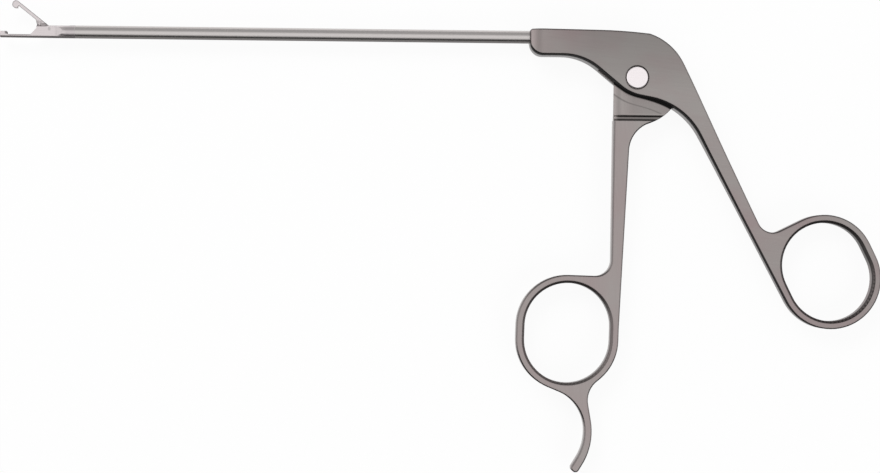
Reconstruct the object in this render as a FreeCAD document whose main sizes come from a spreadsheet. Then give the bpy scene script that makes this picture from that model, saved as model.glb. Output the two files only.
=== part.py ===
import FreeCAD, Part
import math
import os
import Sketcher
from FreeCAD import Placement, Rotation, Vector

# A suture grasper, lying on its side. X runs along the shaft towards the handles, Y is up in the
# plane of the instrument and Z is the thickness, with the middle plane at zero. The origin is on
# the shaft's axis, at the front face of the handle. The jaw and the lever are open.

doc = FreeCAD.newDocument("suture_grasper")
sheet = doc.addObject("Spreadsheet::Sheet", "sizes")

SIZES = {
    # Shaft
    "shaft_length": 113.0,
    "shaft_diameter": 3.2,
    "tube_bore": 1.9,
    "socket_depth": 12.0,
    "tube_end_diameter": 2.8,
    "rod_diameter": 1.4,
    "rod_play": 0.05,
    "cut_margin": 2.0,
    # Nose and spine of the fixed handle, seen from the side
    "body_thickness": 8.0,
    "nose_top": 1.87,
    "nose_bottom": -4.56,
    "nose_top_round": 0.6,
    "nose_bottom_round": 3.4,
    "nose_reach": 3.9,
    "nose_drop": 1.6,
    "spine_bend_x": 22.6,
    "spine_bend_y": 1.57,
    "spine_bend_round": 120.0,
    "spine_kink_x": 29.9,
    "spine_kink_y": 0.84,
    "spine_kink_round": 2.0,
    "shoulder_x": 35.85,
    "shoulder_y": -1.27,
    "shoulder_round": 14.6,
    # Lower edge of the fixed handle
    "chin_x": 13.27,
    "chin_round": 14.0,
    "boss_x": 24.76,
    "boss_y": -14.11,
    "boss_round": 11.0,
    "crotch_x": 38.89,
    "crotch_y": -16.79,
    "crotch_round": 18.0,
    # Rear shank and thumb ring
    "thumb_x": 75.46,
    "thumb_y": -58.46,
    "thumb_tilt": 116.07,
    "thumb_hole_radius": 10.75,
    "thumb_hole_straight": 1.82,
    "thumb_wall": 2.0,
    "thumb_web_round": 4.0,
    "rear_edge_slope": -64.0,
    "rear_taper_start": -12.0,
    "rear_taper_end": -28.0,
    "rear_shank_thickness": 5.2,
    "rear_ring_start": -42.5,
    "ring_thickness": 4.2,
    "taper_round": 60.0,
    "ring_inner_break": 0.6,
    "edge_break": 0.25,
    # Pivot
    "pivot_x": 26.7,
    "pivot_y": -10.15,
    "barrel_diameter": 3.8,
    "pivot_head_diameter": 5.4,
    "pivot_head_height": 1.5,
    "pivot_head_edge": 0.15,
    "pivot_recess_diameter": 5.9,
    "pivot_recess_depth": 1.2,
    "screw_shank_diameter": 2.0,
    "screw_shank_length": 4.0,
    "screw_slot_width": 0.8,
    "screw_slot_depth": 0.7,
    "running_fit": 0.04,
    # Slot between the cheeks of the fixed handle
    "slot_width": 3.0,
    "slot_front_x": 17.4,
    "slot_back_x": 30.6,
    "slot_back_y": -6.5,
    "slot_back_round": 2.0,
    "slot_reach": 12.15,
    "slot_reach_angle": -22.0,
    "slot_reach_turn": 60.0,
    # Front lever
    "tongue_play": 0.05,
    "heel_radius": 11.75,
    "heel_back_angle": -37.0,
    "heel_front_angle": -70.0,
    "heel_tail": 0.9,
    "heel_tail_round": 0.6,
    "lever_thickness": 5.0,
    "lever_taper_end": -58.5,
    "lever_front_x": 21.27,
    "lever_front_y": -12.0,
    "lever_front_lean": 0.6,
    "lever_rear_lean": 3.0,
    "lever_throat_round": 7.6,
    "tongue_front_reach": 2.6,
    "tongue_front_drop": 0.9,
    "tongue_front_height": 12.0,
    "shoulder_line_y": -20.8,
    "relief_height": 1.25,
    "relief_depth": 0.5,
    "relief_top_round": 0.3,
    "relief_round": 0.6,
    "arm_half_width": 0.8,
    "arm_root_y": -3.6,
    "arm_root_round": 2.5,
    "arm_shoulder_drop": 6.8,
    "arm_shoulder_back_x": 30.4,
    "arm_shoulder_front_x": 21.4,
    "arm_shoulder_round": 3.5,
    "fork_disc_radius": 1.0,
    "fork_depth": 2.4,
    # Finger ring
    "finger_x": 9.76,
    "finger_y": -74.05,
    "finger_tilt": 88.25,
    "finger_hole_radius": 10.82,
    "finger_hole_straight": 1.67,
    "finger_wall": 2.0,
    "finger_web_round": 4.0,
    # Finger hook
    "hook_leave_angle": -112.5,
    "hook_join_angle": -52.0,
    "hook_back_x": 14.15,
    "hook_back_round": 10.4,
    "hook_knee_y": -102.25,
    "hook_knee_round": 12.4,
    "hook_end_lean": 32.0,
    "hook_end_length": 6.9,
    "hook_width": 2.0,
    "hook_end_round": 0.98,
    "hook_nape_x": 14.41,
    "hook_nape_y": -88.31,
    "hook_nape_round": 6.0,
    "hook_belly_x": 16.72,
    "hook_belly_y": -101.91,
    "hook_belly_round": 15.8,
    # Rod and its grooved end
    "rod_travel": 1.15,
    "collar_diameter": 2.6,
    "collar_width": 1.2,
    "neck_diameter": 1.3,
    "neck_play": 0.03,
    # Jaw housing with the fixed lower jaw, measured ahead of the shaft's end
    "housing_tip_diameter": 3.1,
    "jaw_pivot_ahead": 6.3,
    "jaw_pivot_y": 0.6,
    "jaw_opening": 38.5,
    "jaw_pin_diameter": 0.7,
    "across_flats": 2.12,
    "flat_ramp_ahead": 2.9,
    "flat_ramp_length": 1.8,
    "flat_ramp_round": 2.0,
    "spigot_length": 4.0,
    "clevis_gap": 1.2,
    "clevis_top_ahead": 9.35,
    "clevis_bend_ahead": 9.5,
    "clevis_bend_y": 0.7,
    "clevis_bend_round": 1.0,
    "clevis_foot_ahead": 10.9,
    "clevis_foot_round": 0.4,
    "clevis_slope_back": 0.8,
    "clevis_slope_front": 0.5,
    "clevis_floor_y": -1.15,
    "clevis_back_ahead": 1.3,
    "guide_front_ahead": 3.4,
    "tail_window_front": 0.6,
    "tail_window_back": 2.5,
    "lower_jaw_top": -0.82,
    "lower_tip_ahead": 18.5,
    "lower_tip_top": -0.05,
    "lower_tip_length": 1.75,
    "lower_tip_pocket": 0.95,
    "lower_tip_round": 0.3,
    "lower_tip_step_round": 0.12,
    "lower_tip_pocket_front": 0.3,
    "lower_tip_pocket_round": 0.2,
    "jaw_side_play": 0.05,
    # Upper jaw, measured from its pivot with the jaw closed
    "upper_top": 0.55,
    "upper_bottom": -0.3,
    "upper_reach": 10.2,
    "upper_tip_radius": 0.95,
    "upper_tip_drop": 0.39,
    "upper_tip_notch": 0.28,
    "upper_thickness": 1.14,
    "heel_front_x": -4.08,
    "heel_front_round": 0.6,
    "heel_low_x": -2.95,
    "heel_low_y": -1.18,
    "heel_low_round": 0.3,
    "shoulder_back_x": 1.2,
    "shoulder_back_round": 0.5,
    "tail_root_x": 0.2,
    "tail_thickness": 0.5,
    "tail_wall": 0.2,
    "tail_step_x": 0.5,
    # Drive pin and the fork that carries it
    "drive_pin_diameter": 0.5,
    "drive_pin_drop": 1.1,
    "drive_pin_closed_x": 1.1,
    "cam_play": 0.03,
    "tang_nose_radius": 0.5,
    "tang_fork_root": 4.4,
    "tang_root_overlap": 0.3,
    "tang_root_rise": 0.35,
    "tang_root_slope": 0.9,
    "tang_root_round": 0.4,
    "tang_length": 7.0,
    "tang_gap": 0.56,
    "tang_width": 1.12,
}

for row, (alias, number) in enumerate(SIZES.items(), start=1):
    sheet.set("A%d" % row, alias.replace("_", " "))
    sheet.set("B%d" % row, str(number))
    sheet.setAlias("B%d" % row, alias)
doc.recompute()


def mm(alias):
    """A driving size, read from the sheet."""
    return float(sheet.get(alias))


def polar(centre, radius, degrees):
    """The point at a radius and an angle from a centre, in the plane of the instrument."""
    turn = math.radians(degrees)
    return Vector(centre.x + radius * math.cos(turn), centre.y + radius * math.sin(turn), 0)


def crossing(point_a, angle_a, point_b, angle_b):
    """Where two lines cross, each given by a point and an angle."""
    along_a = polar(Vector(), 1, angle_a)
    along_b = polar(Vector(), 1, angle_b)
    gap = point_b - point_a
    step = (gap.x * along_b.y - gap.y * along_b.x) / (along_a.x * along_b.y - along_a.y * along_b.x)
    return point_a + along_a * step


def rounded(corners):
    """Lines and tangent arcs round a closed outline, from its corners (x, y, radius)."""
    points = [Vector(x, y, 0) for x, y, radius in corners]
    ends = []
    for i, (x, y, radius) in enumerate(corners):
        back = (points[i - 1] - points[i]).normalize()
        ahead = (points[(i + 1) % len(points)] - points[i]).normalize()
        if radius == 0:
            ends.append((points[i], points[i], points[i]))
            continue
        half = back.getAngle(ahead) / 2
        reach = radius / math.tan(half)
        middle = (back + ahead).normalize() * (radius / math.sin(half) - radius)
        ends.append((points[i] + back * reach, points[i] + middle, points[i] + ahead * reach))
    pieces = []
    for i, (start, middle, end) in enumerate(ends):
        if (end - start).Length > 1e-6:
            pieces.append(Part.Arc(start, middle, end))
        following = ends[(i + 1) % len(ends)][0]
        if (following - end).Length > 1e-6:
            pieces.append(Part.LineSegment(end, following))
    return pieces


def new_body(label):
    """An empty piece with its own name."""
    body = doc.addObject("PartDesign::Body", label)
    body.Label = label
    return body


def new_sketch(body, name, role):
    """A sketch on one of the piece's own origin planes."""
    sketch = body.newObject("Sketcher::SketchObject", body.Label + "_" + name)
    plane = [feature for feature in body.Origin.OriginFeatures if feature.Role == role][0]
    sketch.AttachmentSupport = [(plane, "")]
    sketch.MapMode = "FlatFace"
    return sketch


def outline(body, name, corners, role="XY_Plane"):
    """A closed outline with rounded corners, whose neighbouring ends are joined."""
    sketch = new_sketch(body, name, role)
    sketch.addGeometry(rounded(corners), False)
    return sketch


def ring(body, name, x, y, radius, role="XY_Plane"):
    """A circle whose place and radius follow expressions."""
    sketch = new_sketch(body, name, role)
    sketch.addGeometry(Part.Circle(Vector(1, 1, 0), Vector(0, 0, 1), 1), False)
    sketch.addConstraint(Sketcher.Constraint("Radius", 0, 1.0))
    sketch.setExpression("Constraints[0]", radius)
    for number, (kind, place) in enumerate((("DistanceX", x), ("DistanceY", y)), start=1):
        sketch.addConstraint(Sketcher.Constraint(kind, -1, 1, 0, 3, 1.0))
        sketch.setExpression("Constraints[%d]" % number, place)
    return sketch


def lifted(sketch, height):
    """Moves a sketch along its normal."""
    sketch.AttachmentOffset = Placement(Vector(), Rotation())
    sketch.setExpression("AttachmentOffset.Base.z", height)
    return sketch


def falling(front_x, level, reach, drop, face):
    """A cut, seen from above, that lets a flat fall away in an arc towards a front edge."""
    arc = (reach ** 2 + drop ** 2) / (2 * drop)
    clear = face * (level + margin)
    return [
        (front_x - margin, clear, 0),
        (front_x + reach + margin, clear, 0),
        (front_x + reach + margin, face * level, 0),
        (front_x + reach - arc * drop / reach, face * level, arc),
        (front_x, face * (level - drop), 0),
        (front_x - margin, face * (level - drop), 0),
    ]


def solid_of(body):
    """The volume of a piece, once its newest feature is made."""
    doc.recompute()
    assert not {"Invalid", "Error"} & set(body.Tip.State), body.Tip.Name + " failed"
    return body.Shape.Volume


def pad(body, sketch, length, midplane=True, reverse=False):
    """A slab of a sketch, its middle on the sketch unless told otherwise."""
    feature = body.newObject("PartDesign::Pad", sketch.Name + "_pad")
    feature.Profile = sketch
    feature.Midplane = midplane
    feature.Reversed = reverse
    feature.setExpression("Length", length)
    solid_of(body)
    return feature


def pocket(body, sketch, length=None, midplane=True, reverse=False):
    """A cut of a sketch, right through when it has no length. It has to take something away."""
    before = body.Shape.Volume
    feature = body.newObject("PartDesign::Pocket", sketch.Name + "_pocket")
    feature.Profile = sketch
    feature.Midplane = midplane
    feature.Reversed = reverse
    if length is None:
        feature.Type = "ThroughAll"
    else:
        feature.setExpression("Length", length)
    assert solid_of(body) < before - 1e-6, sketch.Name + " cuts nothing"
    return feature


def turned(body, name, profile):
    """A piece of revolution about the shaft's axis, from (x, radius) corners."""
    sketch = outline(body, name, [(x, radius, 0) for x, radius in profile])
    feature = body.newObject("PartDesign::Revolution", name)
    feature.Profile = sketch
    feature.ReferenceAxis = (sketch, ["H_Axis"])
    feature.Angle = 360
    solid_of(body)
    return feature


def eased(body, kind, size, chosen):
    """Rounds or chamfers the edges that a test picks."""
    names = ["Edge%d" % i for i, edge in enumerate(body.Shape.Edges, start=1) if chosen(edge)]
    assert names, body.Label + " has no such edges"
    base = body.Tip
    feature = body.newObject("PartDesign::" + kind, body.Label + "_" + size)
    feature.Base = (base, names)
    feature.setExpression("Radius" if kind == "Fillet" else "Size", "sizes." + size)
    solid_of(body)
    return feature


# A face is a flat or a wall by how much of its normal lies along the thickness. Two places closer
# than the last of these count as one.
least_of_flat = 0.3
most_of_wall = 0.1
same_place = 0.05


def outer_edges(body):
    """A test for the sharp edges between the side walls of a piece and its flats."""
    steep = {}
    for face in body.Shape.Faces:
        for edge in face.Edges:
            middle = edge.valueAt((edge.FirstParameter + edge.LastParameter) / 2)
            normal = face.normalAt(*face.Surface.parameter(middle))
            steep.setdefault(edge.hashCode(), []).append(abs(normal.z))
    return lambda edge: (max(steep[edge.hashCode()]) > least_of_flat
                         and min(steep[edge.hashCode()]) < most_of_wall)


margin = mm("cut_margin")
pivot = Vector(mm("pivot_x"), mm("pivot_y"), 0)

# The thumb ring is two half circles joined by short straights. Its outside continues the rear
# shank on one side, and meets it with a web on the other.
thumb = Vector(mm("thumb_x"), mm("thumb_y"), 0)
thumb_tilt = mm("thumb_tilt")
thumb_hole = mm("thumb_hole_radius")
thumb_straight = mm("thumb_hole_straight")
thumb_outer = thumb_hole + mm("thumb_wall")
thumb_top = polar(thumb, thumb_straight + thumb_outer, thumb_tilt)
thumb_foot = polar(thumb, thumb_straight + thumb_outer, thumb_tilt + 180)
thumb_side = polar(thumb, thumb_outer, thumb_tilt - 90)
thumb_low_centre = polar(thumb, thumb_straight, thumb_tilt + 180)


def stadium(centre, tilt, radius, straight):
    """Corners of a long hole: a box whose corner radius is half its width."""
    corners = []
    for along, across in ((1, -1), (-1, -1), (-1, 1), (1, 1)):
        point = polar(centre, along * (straight + radius), tilt)
        point = polar(point, across * radius, tilt + 90)
        corners.append((point.x, point.y, radius))
    return corners


def tangent_from(point, centre, radius, side):
    """The angle of the line from a point that touches a circle on one side."""
    gap = centre - point
    towards = math.degrees(math.atan2(gap.y, gap.x))
    return towards + side * math.degrees(math.asin(radius / gap.Length))


crotch = Vector(mm("crotch_x"), mm("crotch_y"), 0)
shoulder = Vector(mm("shoulder_x"), mm("shoulder_y"), 0)
shank_angle = tangent_from(crotch, thumb_low_centre, thumb_outer, -1)
web_corner = crossing(shoulder, mm("rear_edge_slope"), thumb_top, thumb_tilt - 90)
top_corner = crossing(thumb_top, thumb_tilt - 90, thumb_side, thumb_tilt)
foot_corner = crossing(thumb_foot, thumb_tilt - 90, thumb_side, thumb_tilt)
shank_corner = crossing(crotch, shank_angle, thumb_foot, thumb_tilt - 90)

# Fixed handle: nose, cheeks, shank and ring are one forging.
handle = new_body("handle_body")
side_view = outline(handle, "side_view", [
    (0, mm("nose_top"), mm("nose_top_round")),
    (mm("spine_bend_x"), mm("spine_bend_y"), mm("spine_bend_round")),
    (mm("spine_kink_x"), mm("spine_kink_y"), mm("spine_kink_round")),
    (shoulder.x, shoulder.y, mm("shoulder_round")),
    (web_corner.x, web_corner.y, mm("thumb_web_round")),
    (top_corner.x, top_corner.y, thumb_outer),
    (foot_corner.x, foot_corner.y, thumb_outer),
    (shank_corner.x, shank_corner.y, thumb_outer),
    (crotch.x, crotch.y, mm("crotch_round")),
    (mm("boss_x"), mm("boss_y"), mm("boss_round")),
    (mm("chin_x"), mm("nose_bottom"), mm("chin_round")),
    (0, mm("nose_bottom"), mm("nose_bottom_round")),
])
pad(handle, side_view, "sizes.body_thickness")

# Seen from above, the nose falls away towards its front in an arc on both cheeks.
half_body = mm("body_thickness") / 2
for name, face in (("near_nose", 1), ("far_nose", -1)):
    corner = outline(handle, name, falling(0, half_body, mm("nose_reach"), mm("nose_drop"), face),
                     "XZ_Plane")
    pocket(handle, corner)

# Seen from the end, the cheeks are flat and the shank thins towards the ring.
half_shank = mm("rear_shank_thickness") / 2
half_ring = mm("ring_thickness") / 2
low_end = thumb.y - 3 * thumb_outer
for name, face in (("near_taper", 1), ("far_taper", -1)):
    taper = outline(handle, name, [
        (mm("rear_taper_start"), face * half_body, mm("taper_round")),
        (mm("rear_taper_end"), face * half_shank, mm("taper_round")),
        (mm("rear_ring_start"), face * half_ring, mm("taper_round")),
        (low_end, face * half_ring, 0),
        (low_end, face * (half_body + margin), 0),
        (mm("nose_top"), face * (half_body + margin), 0),
        (mm("nose_top"), face * half_body, 0),
    ], "YZ_Plane")
    pocket(handle, taper)

# Its outer edges are broken, and the inner edges of the ring more so.
eased(handle, "Chamfer", "edge_break", outer_edges(handle))
hole = outline(handle, "thumb_hole", stadium(thumb, thumb_tilt, thumb_hole, thumb_straight))
pocket(handle, hole)


def on_hole(edge, centre, tilt, radius, straight):
    """Whether an edge runs round the inside of a finger ring."""
    middle = edge.valueAt((edge.FirstParameter + edge.LastParameter) / 2)
    along = (middle - centre).dot(polar(Vector(), 1, tilt))
    across = (middle - centre).dot(polar(Vector(), 1, tilt + 90))
    past = max(0, abs(along) - straight)
    off = abs(math.hypot(past, across) - radius)
    return off < same_place and edge.BoundBox.ZLength < half_ring


eased(handle, "Chamfer", "ring_inner_break",
      lambda edge: on_hole(edge, thumb, thumb_tilt, thumb_hole, thumb_straight))

# The slot runs between the cheeks, from the lower edge to the top, for the tongue and its fork.
reach_top = polar(pivot, mm("slot_reach"), mm("slot_reach_angle"))
reach_low_angle = mm("slot_reach_angle") - mm("slot_reach_turn")
reach_low = polar(pivot, mm("slot_reach"), reach_low_angle)
half_turn = (mm("slot_reach_angle") - reach_low_angle) / 2
reach_mid = polar(pivot, mm("slot_reach") / math.cos(math.radians(half_turn)),
                  mm("slot_reach_angle") - half_turn)
above = mm("nose_top") + margin
below = mm("boss_y") - 2 * margin
slot = outline(handle, "slot", [
    (mm("slot_front_x"), above, 0),
    (mm("slot_back_x"), above, 0),
    (mm("slot_back_x"), mm("slot_back_y"), mm("slot_back_round")),
    (reach_top.x, reach_top.y, 0),
    (reach_mid.x, reach_mid.y, mm("slot_reach")),
    (reach_low.x, reach_low.y, 0),
    (reach_low.x, below, 0),
    (mm("slot_front_x"), below, 0),
])
pocket(handle, slot, "sizes.slot_width")

# The shaft is soldered into a blind socket, and the rod runs on through it.
socket = ring(handle, "socket", "0", "0", "sizes.tube_end_diameter / 2", "YZ_Plane")
pocket(handle, socket, "sizes.socket_depth", False, True)
rod_bore = ring(handle, "rod_bore", "0", "0", "sizes.rod_diameter / 2 + sizes.rod_play", "YZ_Plane")
pocket(handle, rod_bore, "sizes.slot_front_x + sizes.cut_margin", False, True)

# The pivot's barrel goes through both cheeks, with a recess on each side for a head.
barrel_hole = ring(handle, "barrel_hole", "sizes.pivot_x", "sizes.pivot_y",
                   "sizes.barrel_diameter / 2")
pocket(handle, barrel_hole)
for name, face in (("near_recess", 1), ("far_recess", -1)):
    recess = lifted(ring(handle, name, "sizes.pivot_x", "sizes.pivot_y",
                         "sizes.pivot_recess_diameter / 2"), "%d * sizes.body_thickness / 2" % face)
    pocket(handle, recess, "sizes.pivot_recess_depth", False, face < 0)

# Front lever, drawn open: fork, tongue, shank, finger ring and hook are one forging.
finger = Vector(mm("finger_x"), mm("finger_y"), 0)
finger_tilt = mm("finger_tilt")
finger_hole = mm("finger_hole_radius")
finger_straight = mm("finger_hole_straight")
finger_outer = finger_hole + mm("finger_wall")
finger_top = polar(finger, finger_straight + finger_outer, finger_tilt)
finger_side = polar(finger, finger_outer, finger_tilt - 90)
finger_front = polar(finger, finger_outer, finger_tilt + 90)
finger_high_centre = polar(finger, finger_straight, finger_tilt)
finger_low_centre = polar(finger, finger_straight, finger_tilt + 180)

# The arm leans back by half the squeeze, so that the rod's stroke is even about the upright.
arm_length = -mm("pivot_y") / math.cos(math.asin(mm("rod_travel") / -mm("pivot_y") / 2) / 2)
squeeze = 2 * math.degrees(math.asin(mm("rod_travel") / 2 / arm_length))
fork_end = polar(pivot, arm_length, 90 - squeeze / 2)

rear_angle = -90 - mm("lever_rear_lean")
front_angle = -90 - mm("lever_front_lean")
rear_touch = polar(finger_high_centre, finger_outer, -mm("lever_rear_lean"))
front_line = Vector(mm("lever_front_x"), mm("lever_front_y"), 0)
heel_back = polar(pivot, mm("heel_radius"), mm("heel_back_angle"))
heel_tail = polar(heel_back, mm("heel_tail"), mm("heel_back_angle") + 90)
heel_front = polar(pivot, mm("heel_radius"), mm("heel_front_angle"))
heel_corner = crossing(heel_back, mm("heel_back_angle") + 90, heel_front,
                       mm("heel_front_angle") + 90)
throat = crossing(heel_front, mm("heel_front_angle") + 90, rear_touch, rear_angle)
side_corner = crossing(rear_touch, rear_angle, finger_side, finger_tilt)
join = polar(finger_low_centre, finger_outer, mm("hook_join_angle"))
join_corner = crossing(finger_side, finger_tilt, join, mm("hook_join_angle") - 90)
leave = polar(finger_low_centre, finger_outer, mm("hook_leave_angle"))
leave_corner = crossing(finger_front, finger_tilt, leave, mm("hook_leave_angle") + 90)
front_corner = crossing(finger_front, finger_tilt, finger_top, finger_tilt - 90)
ring_corner = crossing(front_line, front_angle, finger_top, finger_tilt - 90)
hook_back = Vector(mm("hook_back_x"), mm("hook_knee_y"), 0)
hook_start = crossing(leave, mm("hook_leave_angle") + 90, hook_back, 90)
hook_angle = -90 - mm("hook_end_lean")
hook_inside = polar(hook_back, mm("hook_end_length"), hook_angle)
hook_outside = polar(hook_inside, mm("hook_width"), hook_angle + 90)
root_y = mm("arm_root_y")
half_arm = mm("arm_half_width")

lever = new_body("front_lever")
lever_view = outline(lever, "side_view", [
    (fork_end.x - half_arm, fork_end.y, 0),
    (fork_end.x + half_arm, fork_end.y, 0),
    (fork_end.x + half_arm, root_y, mm("arm_root_round")),
    (mm("arm_shoulder_back_x"), -mm("arm_shoulder_drop"), mm("arm_shoulder_round")),
    (heel_tail.x, heel_tail.y, mm("heel_tail_round")),
    (heel_corner.x, heel_corner.y, mm("heel_radius")),
    (throat.x, throat.y, mm("lever_throat_round")),
    (side_corner.x, side_corner.y, finger_outer),
    (join_corner.x, join_corner.y, finger_outer),
    (mm("hook_nape_x"), mm("hook_nape_y"), mm("hook_nape_round")),
    (mm("hook_belly_x"), mm("hook_belly_y"), mm("hook_belly_round")),
    (hook_outside.x, hook_outside.y, mm("hook_end_round")),
    (hook_inside.x, hook_inside.y, mm("hook_end_round")),
    (hook_back.x, hook_back.y, mm("hook_knee_round")),
    (hook_start.x, hook_start.y, mm("hook_back_round")),
    (leave_corner.x, leave_corner.y, finger_outer),
    (front_corner.x, front_corner.y, finger_outer),
    (ring_corner.x, ring_corner.y, mm("finger_web_round")),
    (mm("arm_shoulder_front_x"), -mm("arm_shoulder_drop"), mm("arm_shoulder_round")),
    (fork_end.x - half_arm, root_y, mm("arm_root_round")),
])
pad(lever, lever_view, "sizes.lever_thickness")
fork_discs = new_sketch(lever, "fork_discs", "XY_Plane")
fork_discs.addGeometry(Part.Circle(fork_end, Vector(0, 0, 1), mm("fork_disc_radius")), False)
pad(lever, fork_discs, "sizes.lever_thickness")

# Seen from the end: a thin tongue, a relief groove below it, and a shank that thins to the ring.
half_lever = mm("lever_thickness") / 2
half_tongue = mm("slot_width") / 2 - mm("tongue_play")
step_y = mm("shoulder_line_y")
groove_y = step_y + mm("relief_height")
groove_z = half_tongue - mm("relief_depth")
below_ring = finger.y - 3 * finger_outer
for name, face in (("near_side", 1), ("far_side", -1)):
    tongue = outline(lever, name + "_tongue", [
        (fork_end.y + 2 * margin, face * half_tongue, 0),
        (groove_y, face * half_tongue, 0),
        (groove_y, face * groove_z, mm("relief_top_round")),
        (step_y, face * groove_z, mm("relief_round")),
        (step_y, face * (half_lever + margin), 0),
        (fork_end.y + 2 * margin, face * (half_lever + margin), 0),
    ], "YZ_Plane")
    pocket(lever, tongue)
    taper = outline(lever, name + "_taper", [
        (step_y, face * half_lever, 0),
        (mm("lever_taper_end"), face * half_ring, mm("taper_round")),
        (below_ring, face * half_ring, 0),
        (below_ring, face * (half_lever + margin), 0),
        (step_y, face * (half_lever + margin), 0),
    ], "YZ_Plane")
    pocket(lever, taper)

below_step = outer_edges(lever)
eased(lever, "Chamfer", "edge_break",
      lambda edge: below_step(edge) and edge.BoundBox.YMin < step_y - margin)
hole = outline(lever, "finger_hole", stadium(finger, finger_tilt, finger_hole, finger_straight))
pocket(lever, hole)
eased(lever, "Chamfer", "ring_inner_break",
      lambda edge: on_hole(edge, finger, finger_tilt, finger_hole, finger_straight))

# Above the relief groove, the tongue's front edge falls away in an arc on both sides.
for name, face in (("near_front", 1), ("far_front", -1)):
    corner = outline(lever, name,
                     falling(mm("lever_front_x"), half_tongue, mm("tongue_front_reach"),
                             mm("tongue_front_drop"), face), "XZ_Plane")
    lifted(corner, "-(sizes.shoulder_line_y + sizes.relief_height)")
    pocket(lever, corner, "sizes.tongue_front_height", False)

# The fork straddles the neck of the rod's grooved end.
fork_gap = outline(lever, "fork_gap", [
    (fork_end.x - 2 * margin, fork_end.y + margin, 0),
    (fork_end.x + 2 * margin, fork_end.y + margin, 0),
    (fork_end.x + 2 * margin, fork_end.y - mm("fork_depth"), 0),
    (fork_end.x - 2 * margin, fork_end.y - mm("fork_depth"), 0),
])
pocket(lever, fork_gap, "sizes.neck_diameter + 2 * sizes.rod_play")
lever_bore = ring(lever, "bore", "sizes.pivot_x", "sizes.pivot_y",
                  "sizes.barrel_diameter / 2 + sizes.running_fit")
pocket(lever, lever_bore)

# Shaft tube.
tube = new_body("shaft_tube")
turned(tube, "tube", [
    (-mm("shaft_length"), mm("tube_bore") / 2),
    (mm("socket_depth"), mm("tube_bore") / 2),
    (mm("socket_depth"), mm("tube_end_diameter") / 2),
    (0, mm("tube_end_diameter") / 2),
    (0, mm("shaft_diameter") / 2),
    (-mm("shaft_length"), mm("shaft_diameter") / 2),
])

# Jaw housing: a spigot in the tube, two flat cheeks and the fixed lower jaw. Its round is as wide
# as the tube at the seam and tapers a little towards the tip.
housing = new_body("jaw_housing")
seam_x = -mm("shaft_length")
shaft_radius = mm("shaft_diameter") / 2


def ahead(alias):
    """The place along the shaft of a size that is measured ahead of its end."""
    return seam_x - mm(alias)


lower_tip_x = ahead("lower_tip_ahead")
jaw_pivot = Vector(ahead("jaw_pivot_ahead"), mm("jaw_pivot_y"), 0)
turned(housing, "blank", [
    (lower_tip_x, 0),
    (seam_x + mm("spigot_length"), 0),
    (seam_x + mm("spigot_length"), mm("tube_bore") / 2),
    (seam_x, mm("tube_bore") / 2),
    (seam_x, shaft_radius),
    (lower_tip_x, mm("housing_tip_diameter") / 2),
])
far_front = lower_tip_x - margin
far_side = shaft_radius + margin
ramp_x = ahead("flat_ramp_ahead")
half_flats = mm("across_flats") / 2
for name, face in (("near_flat", 1), ("far_flat", -1)):
    flat = outline(housing, name, [
        (far_front, face * half_flats, 0),
        (ramp_x - mm("flat_ramp_length"), face * half_flats, mm("flat_ramp_round")),
        (ramp_x, face * shaft_radius, 0),
        (ramp_x, face * far_side, 0),
        (far_front, face * far_side, 0),
    ], "XZ_Plane")
    pocket(housing, flat)
tip_back_x = lower_tip_x + mm("lower_tip_length")
foot_x = ahead("clevis_foot_ahead")
mouth = outline(housing, "mouth", [
    (far_front, far_side, 0),
    (ahead("clevis_top_ahead"), far_side, 0),
    (ahead("clevis_bend_ahead"), mm("clevis_bend_y"), mm("clevis_bend_round")),
    (foot_x, mm("lower_jaw_top"), mm("clevis_foot_round")),
    (tip_back_x, mm("lower_jaw_top"), mm("lower_tip_step_round")),
    (tip_back_x, mm("lower_tip_top"), 0),
    (lower_tip_x, mm("lower_tip_top"), 0),
    (far_front, mm("lower_tip_top"), 0),
])
pocket(housing, mouth)
eased(housing, "Fillet", "lower_tip_round", lambda edge: edge.BoundBox.XMax < lower_tip_x + same_place
      and edge.BoundBox.ZLength > half_flats)
clevis = outline(housing, "clevis", [
    (foot_x - mm("clevis_slope_front"), far_side, 0),
    (ahead("clevis_back_ahead"), far_side, 0),
    (ahead("clevis_back_ahead"), mm("clevis_floor_y"), 0),
    (foot_x + mm("clevis_slope_back"), mm("clevis_floor_y"), 0),
    (foot_x - mm("clevis_slope_front"), mm("lower_jaw_top"), 0),
])
pocket(housing, clevis, "sizes.clevis_gap")
tail_window = outline(housing, "tail_window", [
    (jaw_pivot.x - mm("tail_window_front"), 0, 0),
    (jaw_pivot.x + mm("tail_window_back"), 0, 0),
    (jaw_pivot.x + mm("tail_window_back"), -far_side, 0),
    (jaw_pivot.x - mm("tail_window_front"), -far_side, 0),
])
pocket(housing, tail_window, "sizes.tail_thickness + 2 * sizes.jaw_side_play")
pocket_back_x = tip_back_x + mm("lower_tip_pocket_front")
pocket_front_x = tip_back_x - mm("lower_tip_pocket")
tip_pocket = outline(housing, "tip_pocket", [
    (pocket_back_x, mm("lower_jaw_top"), 0),
    (pocket_back_x, far_side, 0),
    (pocket_front_x, far_side, 0),
    (pocket_front_x, mm("lower_jaw_top"), mm("lower_tip_pocket_round")),
])
pocket(housing, tip_pocket, "sizes.upper_thickness + 2 * sizes.jaw_side_play")
guide = ring(housing, "rod_guide", "0", "0", "sizes.rod_diameter / 2 + sizes.rod_play", "YZ_Plane")
pocket(housing, guide, "sizes.shaft_length + sizes.guide_front_ahead", False, False)
pivot_at = "-sizes.shaft_length - sizes.jaw_pivot_ahead"
pin_hole = ring(housing, "pin_hole", pivot_at, "sizes.jaw_pivot_y", "sizes.jaw_pin_diameter / 2")
pocket(housing, pin_hole)

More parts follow.
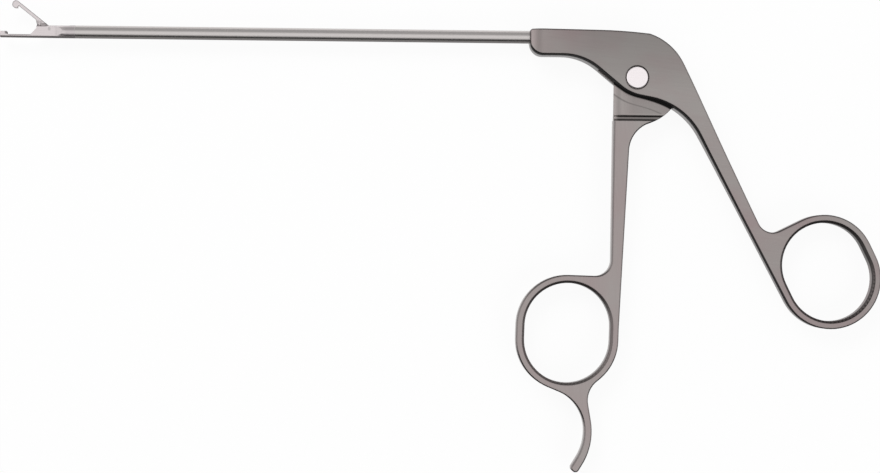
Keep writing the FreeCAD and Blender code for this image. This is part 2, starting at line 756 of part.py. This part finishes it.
# Upper jaw, drawn closed and then turned open about its pin.
jaw = new_body("upper_jaw")
opening = mm("jaw_opening")
pin_drop = -mm("drive_pin_drop")
pin_closed = Vector(mm("drive_pin_closed_x"), pin_drop, 0)


def pin_in_jaw(share):
    """The drive pin as the closed jaw sees it, at a share of the way back to open."""
    back = Vector(mm("drive_pin_closed_x") + share * mm("rod_travel"), pin_drop, 0)
    return jaw_pivot + Rotation(Vector(0, 0, 1), share * opening).multVec(back)


cam_spots = [pin_in_jaw(share) for share in (0, 0.5, 1)]
cam_centre = Part.Arc(*cam_spots).toShape().Curve.Center


def cam_band(half_width):
    """A band along the slanted slot, with round ends."""
    near, mid, far = cam_spots
    out_near, out_mid, out_far = [(spot - cam_centre).normalize() * half_width for spot in cam_spots]
    near_tip = near + Rotation(Vector(0, 0, 1), -90).multVec(out_near)
    far_tip = far + Rotation(Vector(0, 0, 1), 90).multVec(out_far)
    return [
        Part.Arc(near + out_near, mid + out_mid, far + out_far),
        Part.Arc(far + out_far, far_tip, far - out_far),
        Part.Arc(far - out_far, mid - out_mid, near - out_near),
        Part.Arc(near - out_near, near_tip, near + out_near),
    ]


half_slot = mm("drive_pin_diameter") / 2 + mm("cam_play")
tail_end = pin_in_jaw(1) - jaw_pivot
jaw_view = outline(jaw, "side_view", [
    (jaw_pivot.x + x, jaw_pivot.y + y, radius) for x, y, radius in [
        (-mm("upper_reach"), mm("upper_top"), 0),
        (mm("shoulder_back_x"), mm("upper_top"), mm("shoulder_back_round")),
        (tail_end.x, tail_end.y, 0),
        (pin_closed.x, pin_closed.y, 0),
        (mm("tail_root_x"), pin_closed.y, 0),
        (mm("heel_low_x"), mm("heel_low_y"), mm("heel_low_round")),
        (mm("heel_front_x"), mm("upper_bottom"), mm("heel_front_round")),
        (-mm("upper_reach"), mm("upper_bottom"), 0),
    ]
])
pad(jaw, jaw_view, "sizes.upper_thickness")
tip_disc = ring(jaw, "tip_disc", pivot_at + " - sizes.upper_reach",
                "sizes.jaw_pivot_y - sizes.upper_tip_drop", "sizes.upper_tip_radius")
pad(jaw, tip_disc, "sizes.upper_thickness")
tail = new_sketch(jaw, "tail", "XY_Plane")
tail.addGeometry(cam_band(half_slot + mm("tail_wall")), False)
pad(jaw, tail, "sizes.upper_thickness")
for name, face in (("near_tail", 1), ("far_tail", -1)):
    cheek = outline(jaw, name, [
        (jaw_pivot.x + mm("tail_step_x"), face * mm("tail_thickness") / 2, 0),
        (jaw_pivot.x + mm("upper_reach"), face * mm("tail_thickness") / 2, 0),
        (jaw_pivot.x + mm("upper_reach"), face * mm("upper_thickness"), 0),
        (jaw_pivot.x + mm("tail_step_x"), face * mm("upper_thickness"), 0),
    ], "XZ_Plane")
    pocket(jaw, cheek)
cam_slot = new_sketch(jaw, "cam_slot", "XY_Plane")
cam_slot.addGeometry(cam_band(half_slot), False)
pocket(jaw, cam_slot)
jaw_hole = ring(jaw, "pin_hole", pivot_at, "sizes.jaw_pivot_y",
                "sizes.jaw_pin_diameter / 2 + sizes.running_fit / 2")
pocket(jaw, jaw_hole)
notch = ring(jaw, "notch",
             pivot_at + " - sizes.upper_reach + sizes.upper_tip_radius",
             "sizes.jaw_pivot_y - sizes.upper_tip_drop - sizes.upper_tip_notch / 2",
             "sizes.upper_tip_notch")
pocket(jaw, notch)
jaw.Placement = Placement(Vector(), Rotation(Vector(0, 0, 1), -opening), jaw_pivot)


def pin(label, x, y, diameter, length):
    """A plain pin across the instrument."""
    body = new_body(label)
    end = ring(body, "end", x, y, diameter + " / 2")
    pad(body, end, length)
    return body


pin("jaw_pin", pivot_at, "sizes.jaw_pivot_y", "sizes.jaw_pin_diameter", "sizes.across_flats")
drive_x = pivot_at + " + sizes.drive_pin_closed_x + sizes.rod_travel"
drive_y = "sizes.jaw_pivot_y - sizes.drive_pin_drop"
pin("drive_pin", drive_x, drive_y, "sizes.drive_pin_diameter", "sizes.tang_width")

# The tang is a fork: a round shank turned down to two blades, one on each side of the jaw's tail.
tang = new_body("rod_tang")
drive = Vector(jaw_pivot.x + mm("drive_pin_closed_x") + mm("rod_travel"),
               jaw_pivot.y + pin_drop, 0)
root_x = jaw_pivot.x + mm("tang_fork_root")
tang_end = jaw_pivot.x + mm("tang_length")
rod_radius = mm("rod_diameter") / 2
nose = mm("tang_nose_radius")
turned(tang, "shank", [
    (root_x, 0),
    (tang_end, 0),
    (tang_end, rod_radius),
    (root_x, rod_radius),
])
blades = outline(tang, "blades", [
    (drive.x - nose, drive.y + nose, nose),
    (root_x + mm("tang_root_overlap"), drive.y + nose, 0),
    (root_x + mm("tang_root_overlap"), drive.y - nose + mm("tang_root_rise"), 0),
    (root_x - mm("tang_root_slope"), drive.y - nose, mm("tang_root_round")),
    (drive.x - nose, drive.y - nose, nose),
])
pad(tang, blades, "sizes.tang_width")
gap = outline(tang, "gap", [
    (drive.x - margin, drive.y - margin, 0),
    (root_x, drive.y - margin, 0),
    (root_x, drive.y + margin, 0),
    (drive.x - margin, drive.y + margin, 0),
])
pocket(tang, gap, "sizes.tang_gap")
tang_hole = ring(tang, "pin_hole", drive_x, drive_y, "sizes.drive_pin_diameter / 2")
pocket(tang, tang_hole)

# Push rod, from the tang to the grooved end.
half_neck = mm("fork_disc_radius") + mm("neck_play")
spool_front = fork_end.x - half_neck - mm("collar_width")
rod = new_body("push_rod")
turned(rod, "rod", [
    (tang_end, 0),
    (spool_front, 0),
    (spool_front, rod_radius),
    (tang_end, rod_radius),
])

# The grooved end: two collars and the neck that the fork straddles.
spool = new_body("rod_spool")
collar = mm("collar_diameter") / 2
neck = mm("neck_diameter") / 2
turned(spool, "collars", [
    (spool_front, 0),
    (fork_end.x + half_neck + mm("collar_width"), 0),
    (fork_end.x + half_neck + mm("collar_width"), collar),
    (fork_end.x + half_neck, collar),
    (fork_end.x + half_neck, neck),
    (fork_end.x - half_neck, neck),
    (fork_end.x - half_neck, collar),
    (spool_front, collar),
])

# Pivot barrel: a polished head over the near cheek, with a hole for the screw in its far end.
barrel = new_body("pivot_barrel")
seat = "(sizes.body_thickness / 2 - sizes.pivot_recess_depth)"
head = lifted(ring(barrel, "head", "sizes.pivot_x", "sizes.pivot_y",
                   "sizes.pivot_head_diameter / 2"), seat)
pad(barrel, head, "sizes.pivot_head_height", False)
shank = ring(barrel, "shank", "sizes.pivot_x", "sizes.pivot_y", "sizes.barrel_diameter / 2")
pad(barrel, shank, "2 * " + seat)
eased(barrel, "Chamfer", "pivot_head_edge", lambda edge: edge.BoundBox.ZMin > half_body)
tapped = lifted(ring(barrel, "tapped_hole", "sizes.pivot_x", "sizes.pivot_y",
                     "sizes.screw_shank_diameter / 2"), "-" + seat)
pocket(barrel, tapped, "sizes.screw_shank_length", False, True)

# Pivot screw: a slotted head, flush in the far cheek.
screw = new_body("pivot_screw")
screw_head = lifted(ring(screw, "head", "sizes.pivot_x", "sizes.pivot_y",
                         "sizes.pivot_head_diameter / 2"), "-" + seat)
pad(screw, screw_head, "sizes.pivot_recess_depth", False, True)
screw_shank = lifted(ring(screw, "shank", "sizes.pivot_x", "sizes.pivot_y",
                          "sizes.screw_shank_diameter / 2"), "-" + seat)
pad(screw, screw_shank, "sizes.screw_shank_length", False)
half_driver = mm("screw_slot_width") / 2
driver_slot = lifted(outline(screw, "driver_slot", [
    (pivot.x - 2 * margin, pivot.y - half_driver, 0),
    (pivot.x + 2 * margin, pivot.y - half_driver, 0),
    (pivot.x + 2 * margin, pivot.y + half_driver, 0),
    (pivot.x - 2 * margin, pivot.y + half_driver, 0),
]), "-sizes.body_thickness / 2")
pocket(screw, driver_slot, "sizes.screw_slot_depth", False, True)

doc.recompute()
print("squeeze", round(squeeze, 4), "degrees")

for item in doc.Objects:
    assert not {"Invalid", "Error"} & set(item.State), item.Label + " failed"
pieces = [item for item in doc.Objects if item.TypeId == "PartDesign::Body"]
for piece in pieces:
    assert not piece.Shape.isNull() and piece.Shape.isValid(), piece.Label + " has no sound shape"
os.makedirs("parts", exist_ok=True)
for piece in pieces:
    piece.Shape.exportStep("parts/%s.step" % piece.Label)
    print(piece.Label, len(piece.Shape.Solids), "solid", round(piece.Shape.Volume, 2), "mm3")
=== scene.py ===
import bpy
from mathutils import Matrix, Vector


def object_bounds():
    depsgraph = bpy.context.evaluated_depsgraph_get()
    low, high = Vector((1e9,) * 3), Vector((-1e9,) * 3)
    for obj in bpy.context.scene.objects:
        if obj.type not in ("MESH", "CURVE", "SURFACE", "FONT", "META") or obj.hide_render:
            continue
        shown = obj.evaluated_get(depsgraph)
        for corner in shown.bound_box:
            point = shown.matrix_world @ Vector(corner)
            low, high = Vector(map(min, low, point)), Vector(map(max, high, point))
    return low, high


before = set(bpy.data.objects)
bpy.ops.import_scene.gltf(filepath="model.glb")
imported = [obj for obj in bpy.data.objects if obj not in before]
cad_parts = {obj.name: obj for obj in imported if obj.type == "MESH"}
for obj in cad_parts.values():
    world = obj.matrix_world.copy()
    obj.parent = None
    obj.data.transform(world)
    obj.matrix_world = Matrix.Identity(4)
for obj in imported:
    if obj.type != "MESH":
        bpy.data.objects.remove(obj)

cad_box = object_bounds()
scene = bpy.context.scene
MM = 0.001


# Fixed handle: nose, cheeks, shank and thumb ring, forged in one from stainless steel. Its flats
# are ground and glass-blasted to a warm satin grey; its flanks are darkened with painted shade.
class Field:
    """One output of a node. Arithmetic on it adds Math nodes to its tree."""

    def __init__(self, socket):
        self.socket = socket

    def node(self, kind, inputs, out=0, **settings):
        """Adds a node, its settings first and then its inputs, and gives one of its outputs."""
        tree = self.socket.id_data
        made = tree.nodes.new(kind)
        for name, value in settings.items():
            setattr(made, name, value)
        for name, value in inputs.items():
            if isinstance(value, Field):
                tree.links.new(value.socket, made.inputs[name])
            else:
                made.inputs[name].default_value = value
        return Field(made.outputs[out])

    def math(self, operation, *others, clamp=False):
        values = dict(enumerate((self, *others)))
        return self.node("ShaderNodeMath", values, operation=operation, use_clamp=clamp)

    def __add__(self, other):
        return self.math("ADD", other)

    def __sub__(self, other):
        return self.math("SUBTRACT", other)

    def __mul__(self, other):
        return self.math("MULTIPLY", other)

    def __rsub__(self, other):
        return (self * -1) + other

    __radd__ = __add__
    __rmul__ = __mul__

    def between(self, low, high):
        """Rises from 0 to 1 as this goes from low to high."""
        return self.math("MULTIPLY_ADD", 1 / (high - low), -low / (high - low), clamp=True)

    def blend(self, first, second):
        """A colour that goes from the first to the second as this goes from 0 to 1."""
        first, second = [c if isinstance(c, Field) else (*c, 1) for c in (first, second)]
        return self.node("ShaderNodeMix", {0: self, 6: first, 7: second}, out=2, data_type="RGBA")


def stretched(place, size, turn=0.0, detail=3.0):
    """Noise whose spots have a size in metres along X, Y and Z, turned about Z."""
    turned = place.node("ShaderNodeMapping", {"Vector": place, "Rotation": (0, 0, turn)})
    scaled = turned.node("ShaderNodeMapping", {"Vector": turned, "Scale": [1 / s for s in size]})
    return scaled.node("ShaderNodeTexNoise", {"Vector": scaled, "Scale": 1.0, "Detail": detail})


def steel(name, colour, roughness, grain=0.0, edge=0.12 * MM, stain_and_painted_shadow=None, painted_shade=None, painted_rim=None):
    """Stainless steel: ground marks along the grain, soft edges, stains, painted rims and painted
    shade.
    """
    made = bpy.data.materials.new(name)
    made.use_nodes = True
    tree = made.node_tree
    shader = tree.nodes["Principled BSDF"]
    place = Field(tree.nodes.new("ShaderNodeTexCoord").outputs["Object"])
    facing = place.node("ShaderNodeNewGeometry", {}, out="True Normal")

    # Broad tint, ground marks along the grain, blast grain, and scuffs across it.
    cloud = stretched(place, (16 * MM, 9 * MM, 9 * MM), grain, 2.0)
    marks = stretched(place, (7 * MM, 0.09 * MM, 0.09 * MM), grain, 4.0)
    fine = stretched(place, (0.16 * MM, 0.16 * MM, 0.16 * MM))
    scuffs = stretched(place, (0.05 * MM, 2.4 * MM, 2.4 * MM), grain + 0.5).between(0.70, 0.78)

    # Edges are rounded off, and show where the softened normal leaves the flat one.
    soft = place.node("ShaderNodeBevel", {"Radius": edge}, samples=6)
    turn = soft.node("ShaderNodeVectorMath", {0: soft, 1: facing}, out="Value",
                     operation="DOT_PRODUCT")
    wear_and_painted_rim = (1 - turn).between(0.01, 0.16)

    tone = cloud.between(0.35, 0.65).blend(colour, stain_and_painted_shadow or colour)
    tone = (marks.between(0.3, 0.7) * 0.12).blend(tone, [0.55 * c for c in colour])
    tone = (scuffs * 0.20).blend(tone, [min(1, 1.5 * c) for c in colour])
    if stain_and_painted_shadow:
        # Painted shade on edges that face down.
        down_facing_shade = axis(soft, "Y").between(-0.10, -0.45)
        tone = (down_facing_shade * 0.75).blend(tone, [0.1 * c for c in colour])
    # Painted highlight or painted shade on the rounded edges: a rim factor above 1 lightens them,
    # below 1 darkens them.
    if painted_rim:
        tone = wear_and_painted_rim.blend(tone, [min(1, painted_rim * c) for c in colour])
    gloss = marks * 0.10 + fine * 0.06 + (roughness - 0.08) - wear_and_painted_rim * 0.06
    relief = marks * 0.5 + fine * 0.5
    bumped = relief.node("ShaderNodeBump", {"Strength": 0.2, "Distance": 0.02 * MM,
                                            "Height": relief, "Normal": soft})
    shader.inputs["Metallic"].default_value = 1.0
    tree.links.new(tone.socket, shader.inputs["Base Color"])
    tree.links.new(gloss.socket, shader.inputs["Roughness"])
    tree.links.new(bumped.socket, shader.inputs["Normal"])
    # Painted shade: a near-black matt coat mixed in where the mask asks for shade.
    if painted_shade:
        shade_coat = tree.nodes.new("ShaderNodeBsdfPrincipled")
        shade_coat.inputs["Base Color"].default_value = (0.012, 0.011, 0.011, 1)
        shade_coat.inputs["Roughness"].default_value = 0.9
        shade_coat.inputs["Specular IOR Level"].default_value = 0.1
        shade_mask = painted_shade(place)
        shaders = {1: Field(shader.outputs[0]), 2: Field(shade_coat.outputs[0])}
        mixed = shade_mask.node("ShaderNodeMixShader", {0: shade_mask, **shaders})
        tree.links.new(mixed.socket, tree.nodes["Material Output"].inputs["Surface"])
    return made


def axis(place, letter):
    """One coordinate of a place on the piece."""
    return place.node("ShaderNodeSeparateXYZ", {"Vector": place}, out=letter)


def away_from(place, centre):
    """Distance from a line across the instrument."""
    gap = place.node("ShaderNodeVectorMath", {0: place, 1: centre}, operation="SUBTRACT")
    flat = gap.node("ShaderNodeVectorMath", {0: gap, 1: (1, 1, 0)}, operation="MULTIPLY")
    return flat.node("ShaderNodeVectorMath", {0: flat}, out="Value", operation="LENGTH")


def flank_painted_shade(place, half, ring, inside):
    """Painted shade on the flanks below their near edge, darkest where they face down or into a
    ring.
    """
    facing = place.node("ShaderNodeNewGeometry", {}, out="True Normal")
    upright = axis(facing, "Z")
    steep = (1 - upright * upright).math("POWER", 0.5)
    down = axis(facing, "Y").math("DIVIDE", steep)
    shade_mask = down.between(-0.05, -0.35).math("MAXIMUM", down.between(0.5, 0.8) * 0.6)
    towards = place.node("ShaderNodeVectorMath", {0: ring, 1: place}, operation="SUBTRACT")
    inward = towards.node("ShaderNodeVectorMath", {0: towards, 1: facing}, out="Value",
                          operation="DOT_PRODUCT").between(1 * MM, 3 * MM)
    inward = inward * away_from(place, ring).between(14.4 * MM, 14.0 * MM) * inside
    share = 1 - axis(place, "Z").math("DIVIDE", half)
    # Painted shade: each flank is dark from its near edge to about its middle, more where it faces
    # down, and darker still inside the ring.
    outward = (shade_mask * 0.50 + 0.50) * share.between(1.05, 0.65) * (1 - inward.math("CEIL"))
    inward = inward * (share.between(0.90, 0.50) * 0.7 + 0.3)
    return (outward + inward) * upright.math("ABSOLUTE").between(0.76, 0.70)


def dress(node, material):
    """Gives a solid of the frame its finish."""
    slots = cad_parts[node].data.materials
    slots.clear()
    slots.append(material)


satin = (0.348, 0.288, 0.286)
satin_cool = (0.352, 0.328, 0.316)
pivot = Vector((26.7, -10.15, 0)) * MM
thumb_ring = Vector((75.46, -58.46, 0)) * MM
cheek_half = 4.0 * MM
shank_half = 2.6 * MM
ring_half = 2.1 * MM


def handle_painted_shade(place):
    """Painted shade: a dark ring in the gap round the pivot's head, dark flanks, and a darker top
    edge.
    """
    height = axis(place, "Y")
    half = height.between(-28 * MM, -12 * MM) * (cheek_half - shank_half)
    half = half + height.between(-42.5 * MM, -28 * MM) * (shank_half - ring_half) + ring_half
    # Painted shade in the gap round the pivot's head, standing in for its shadow.
    gap = away_from(place, pivot).between(3.05 * MM, 2.9 * MM) * 0.5
    # Painted shade: the top of the nose and cheeks is darker.
    spine_shade = height.between(-14 * MM, 1 * MM) * axis(place, "X").between(0, 16 * MM) * 0.24
    wall_shade = flank_painted_shade(place, half, thumb_ring, 0.9)
    return gap.math("MAXIMUM", spine_shade).math("MAXIMUM", wall_shade)


dress("handle_body", steel("handle_satin", satin, 0.30, 0.1, 0.35 * MM, satin_cool, handle_painted_shade))

# Front lever: fork, tongue, shank, finger ring and hook, forged in one like the fixed handle and
# finished beside it. It hangs in the slot between the cheeks on the pivot barrel.


def below(place, start, end):
    """Distance below a line across the flats, from two points in millimetres."""
    along = (Vector(end) - Vector(start)).normalized()
    gap = place.node("ShaderNodeVectorMath", {0: place, 1: (*(Vector(start) * MM), 0)},
                     operation="SUBTRACT")
    return gap.node("ShaderNodeVectorMath", {0: gap, 1: (along.y, -along.x, 0)}, out="Value",
                    operation="DOT_PRODUCT")


finger_ring = Vector((9.76, -74.05, 0)) * MM
lever_half = 2.5 * MM
tongue_half = 1.45 * MM
groove_edges = (-19.7 * MM, -20.6 * MM)
cheek_edge = ((13.27, -4.56), (24.76, -14.11), (38.89, -16.79), (46.89, -32.90))


def lever_painted_shade(place):
    """Painted shade in the relief groove and on the flanks, a painted shadow of the cheek along its
    edge, a painted reflection of that edge as a thin line, and painted shade on the tongue's right
    part.
    """
    height, along = axis(place, "Y"), axis(place, "X")
    # Painted shade in the relief groove, darkest at its two corners.
    groove = height.between(-21.0 * MM, -20.7 * MM) * height.between(-19.4 * MM, -19.6 * MM)
    corners = [(height - edge).math("ABSOLUTE").between(0.44 * MM, 0.14 * MM)
               for edge in groove_edges]
    groove = (groove * 0.42).math("MAXIMUM", corners[0].math("MAXIMUM", corners[1]) * 0.85)
    groove = groove * along.between(21.7 * MM, 22.3 * MM)
    stretches = zip(cheek_edge, cheek_edge[1:])
    front, boss, shank = [below(place, start, end) for start, end in stretches]
    edge = front.math("SMOOTH_MAX", boss, 2.2 * MM).math("SMOOTH_MIN", shank, 12.8 * MM)
    # A painted reflection of the cheek's edge as a thin line 2.3 mm below it, and a painted shadow
    # of the cheek just below the edge.
    painted_edge_reflection = (edge - 2.3 * MM).math("ABSOLUTE").between(0.30 * MM, 0.06 * MM) * 0.4
    stain_and_painted_shadow = edge.between(0.60 * MM, 0.30 * MM).math("MAXIMUM", painted_edge_reflection)
    shade = along.between(23.5 * MM, 26 * MM) * 0.14
    tongue = stain_and_painted_shadow.math("MAXIMUM", shade) * height.between(-19.2 * MM, -18.9 * MM)
    half = height.between(-20.9 * MM, -20.7 * MM) * (tongue_half - lever_half)
    half = half + height.between(-58.5 * MM, -20.8 * MM) * (lever_half - ring_half) + ring_half
    wall_shade = flank_painted_shade(place, half, finger_ring, 0.65)
    return groove.math("MAXIMUM", tongue).math("MAXIMUM", wall_shade)


lever_tone = (0.374, 0.316, 0.312)
lever_cool = (0.378, 0.350, 0.338)
dress("front_lever", steel("lever_satin", lever_tone, 0.30, 1.5, 0.35 * MM, lever_cool, lever_painted_shade))

# Pivot: a turned barrel with a polished head over the near cheek, the lever's axle, and a slotted
# screw that closes it from the far cheek.
polished = (0.95, 0.885, 0.90)
dress("pivot_barrel", steel("pivot_polish", polished, 0.20, 0.0, 0.1 * MM))
dress("pivot_screw", steel("screw_polish", (0.62, 0.61, 0.60), 0.24, 0.3, 0.08 * MM))

# Shaft tube: drawn stainless tube, centreless ground, so its marks run round it. It is soldered
# into the handle's nose and into the jaw housing.
def shaft_painted_shade(place):
    """Painted shade along the underside."""
    return axis(place, "Y").between(-0.80 * MM, -1.05 * MM) * 0.70


dress("shaft_tube", steel("tube_bright", (0.62, 0.585, 0.575), 0.26, 1.571, 0.08 * MM,
                          painted_shade=shaft_painted_shade))


# Jaw housing and jaws: milled from bar, glass-blasted, the upper jaw on a riveted pin. Painted
# shade sits in the corners, beneath the lower jaw and where the upper jaw leaves the housing.
def housing_painted_shade(place):
    """Painted shade on the lower side of what is left of the round, a dark line along its top edge,
    and painted shade beneath the lower jaw's bar and at the step of the lower tip.
    """
    height, along = axis(place, "Y"), axis(place, "X")
    shade_mask = height.between(-1.12 * MM, -1.22 * MM) * 0.85
    shade_mask = shade_mask + height.between(1.35 * MM, 1.50 * MM) * 0.5
    tube_like = height.between(-0.80 * MM, -1.05 * MM) * 0.5 + 0.2
    shade_mask = shade_mask.math("MAXIMUM", along.between(-116.5 * MM, -115 * MM) * tube_like)
    bar = along.between(-123.6 * MM, -124.2 * MM) * along.between(-129.6 * MM, -129.2 * MM)
    shade_mask = shade_mask.math("MAXIMUM", bar * height.between(-1.04 * MM, -0.90 * MM) * 0.6)
    step = along.between(-130.3 * MM, -130.0 * MM) * along.between(-129.4 * MM, -129.6 * MM)
    return shade_mask.math("MAXIMUM", step * height.between(-0.8 * MM, -0.6 * MM) * 0.7)


def jaw_painted_shade(place):
    """Painted shade round the hinge, broken into spots."""
    spots = stretched(place, (0.5 * MM, 0.4 * MM, 0.5 * MM)).between(0.40, 0.55)
    return axis(place, "Y").between(3.0 * MM, 1.7 * MM) * spots * 0.7


jaw_satin = (0.76, 0.70, 0.705)
# The housing's edges get a painted highlight, the upper jaw's edges painted shade.
dress("jaw_housing", steel("housing_satin", jaw_satin, 0.30, 0.0, 0.10 * MM, painted_shade=housing_painted_shade,
                           painted_rim=1.35))
dress("upper_jaw", steel("jaw_satin", jaw_satin, 0.30, -0.67, 0.35 * MM, painted_shade=jaw_painted_shade, painted_rim=0.12))
dress("jaw_pin", steel("jaw_pin_satin", (0.60, 0.56, 0.56), 0.34, 0.7, 0.03 * MM))

# Push rod with its grooved end and its forked tang, and the drive pin across the tang: ground
# bright and oiled, because they slide inside the tube.
bright = (0.50, 0.49, 0.47)
dress("push_rod", steel("rod_bright", bright, 0.26, 1.571, 0.05 * MM))
dress("rod_spool", steel("spool_bright", bright, 0.24, 1.571, 0.05 * MM))
dress("rod_tang", steel("tang_bright", bright, 0.30, 0.0, 0.04 * MM))
dress("drive_pin", steel("drive_pin_bright", bright, 0.28, 0.0, 0.03 * MM))

# Studio: a white table top under the far cheek, two soft lamps, a white background, and a camera
# almost straight above. Metal sees a room that is darker low down than overhead.
low, high = cad_box
table_height = -4 * MM
floor_mesh = bpy.data.meshes.new("table_top")
reach = 3.0
corners = [(x * reach, y * reach, table_height) for x, y in ((-1, -1), (1, -1), (1, 1), (-1, 1))]
floor_mesh.from_pydata(corners, [], [(0, 1, 2, 3)])
floor = bpy.data.objects.new("table_top", floor_mesh)
scene.collection.objects.link(floor)


def seen_rays(field):
    """1 for the rays that carry the background: to the camera, and by way of metal or glass."""
    path = field.socket.id_data.nodes.new("ShaderNodeLightPath").outputs
    camera, glossy, through = [Field(path["Is %s Ray" % kind])
                               for kind in ("Camera", "Glossy", "Transmission")]
    return camera.math("MAXIMUM", glossy).math("MAXIMUM", through)


paper = bpy.data.materials.new("table_white")
paper.use_nodes = True
tree = paper.node_tree
tree.nodes.clear()
output = tree.nodes.new("ShaderNodeOutputMaterial")
matt = Field(tree.nodes.new("ShaderNodeBsdfDiffuse").outputs[0])
matt.socket.node.inputs["Color"].default_value = (0.86, 0.86, 0.86, 1)
glow = matt.node("ShaderNodeEmission", {"Color": (1, 1, 1, 1), "Strength": 1.0})
mixed = matt.node("ShaderNodeMixShader", {0: seen_rays(matt) * 0.92, 1: matt, 2: glow})
tree.links.new(mixed.socket, output.inputs["Surface"])
floor_mesh.materials.append(paper)

world = bpy.data.worlds.new("studio")
world.use_nodes = True
scene.world = world
sky = world.node_tree.nodes["Background"]
sky.inputs["Color"].default_value = (1, 1, 1, 1)
towards = Field(world.node_tree.nodes.new("ShaderNodeTexCoord").outputs["Generated"])
glossy = Field(world.node_tree.nodes.new("ShaderNodeLightPath").outputs["Is Glossy Ray"])
height = axis(towards, "Z")
along, side = axis(towards, "X"), axis(towards, "Y")
horizon = side.between(-0.7, 0.7) * 0.39 + 0.11
horizon = horizon + along.between(-0.4, -0.9) * 0.90 + along.between(0.4, 0.9) * 0.35
dark = (height * 0.98 - side * 0.2).between(0.93, 0.70) * (1 - horizon)
level = seen_rays(towards) * 0.35 + 0.65 - glossy * dark
world.node_tree.links.new(level.socket, sky.inputs["Strength"])


def lamp(name, place, aim, size, power):
    """A soft rectangular lamp turned towards a point."""
    light = bpy.data.lights.new(name, "AREA")
    light.shape = "RECTANGLE"
    light.size, light.size_y = size
    light.energy = power
    item = bpy.data.objects.new(name, light)
    item.location = place
    item.rotation_euler = (Vector(aim) - Vector(place)).to_track_quat("-Z", "Y").to_euler()
    item.visible_glossy = False
    scene.collection.objects.link(item)


middle = (low + high) / 2
lamp("key", (-0.35, 0.45, 0.60), middle, (0.50, 0.35), 3.0)
lamp("fill", (0.45, -0.50, 0.45), middle, (0.50, 0.40), 1.6)

view = bpy.data.cameras.new("camera")
view.sensor_width = 36
view.lens = 81.818
view.clip_start, view.clip_end = 0.05, 20
camera = bpy.data.objects.new("camera", view)
turn = Matrix(((0.99861247, 0.00583881, 0.05233596), (-0.00648576, 0.99990454, 0.01220026),
               (-0.05225973, -0.01252277, 0.99855501))).transposed().to_4x4()
camera.matrix_world = Matrix.Translation(Vector((-48.32, -56.40, 499.28)) * MM) @ turn
scene.collection.objects.link(camera)
scene.camera = camera
scene.view_settings.view_transform = "Standard"
